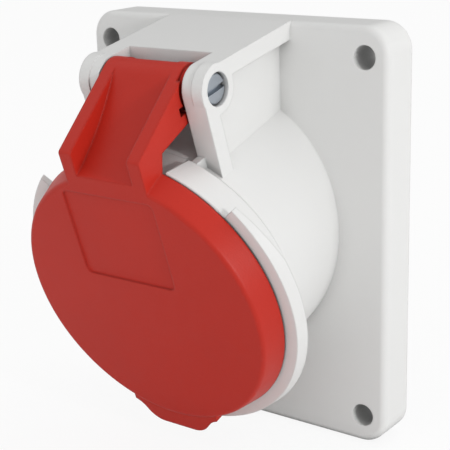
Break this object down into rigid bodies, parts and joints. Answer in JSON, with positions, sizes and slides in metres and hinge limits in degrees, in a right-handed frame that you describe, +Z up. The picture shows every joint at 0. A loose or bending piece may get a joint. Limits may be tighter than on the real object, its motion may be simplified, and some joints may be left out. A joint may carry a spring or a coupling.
{
  "type": "industrial panel socket",
  "caption": "Angled flush-mounting three-phase industrial socket: light grey square flange and tilted round body, red sprung lid on two ears, round contacts inside, screw terminals behind.",
  "frame": {"origin": "middle of the flange's back face, which is the panel's surface", "axes": "+Z up along the panel, -Y out of the panel towards the user, +X to the right seen from the front"},
  "size_m": [0.086, 0.0875, 0.1],
  "materials": {
    "housing": "satin light grey",
    "lid": "satin red",
    "pin": "plated",
    "spring_steel": "spring wire",
    "seal": "matt",
    "carrier": "satin dark grey",
    "contact_brass": "bright",
    "clamp_steel": "zinc plated",
    "screw_steel": "zinc plated"
  },
  "bodies": {
    "frame": {"housing": "housing", "hinge_pin": "pin", "lid_spring": "spring_steel", "flange_seal": "seal", "contact_carrier": "carrier", "terminal_block": "carrier", "carrier_screws": "screw_steel", "terminal_screws": "screw_steel", "contact_earth": "contact_brass", "grip_ring_earth": "spring_steel", "clamp_earth": "clamp_steel", "contact_line_1": "contact_brass", "grip_ring_line_1": "spring_steel", "clamp_line_1": "clamp_steel", "contact_line_2": "contact_brass", "grip_ring_line_2": "spring_steel", "clamp_line_2": "clamp_steel", "contact_line_3": "contact_brass", "grip_ring_line_3": "spring_steel", "clamp_line_3": "clamp_steel", "contact_neutral": "contact_brass", "grip_ring_neutral": "spring_steel", "clamp_neutral": "clamp_steel"},
    "lid": {"lid": "lid", "lid_seal": "seal"}
  },
  "joints": [
    {"name": "lid_hinge", "type": "hinge", "parent": "frame", "child": "lid", "pos_m": [0, -0.03866, 0.03883], "axis": [-1, 0, 0], "range_deg": [0, 120], "stiffness_Nm_per_rad": 0.02, "springref_deg": -34.38, "deforming": ["lid_spring"]}
  ]
}
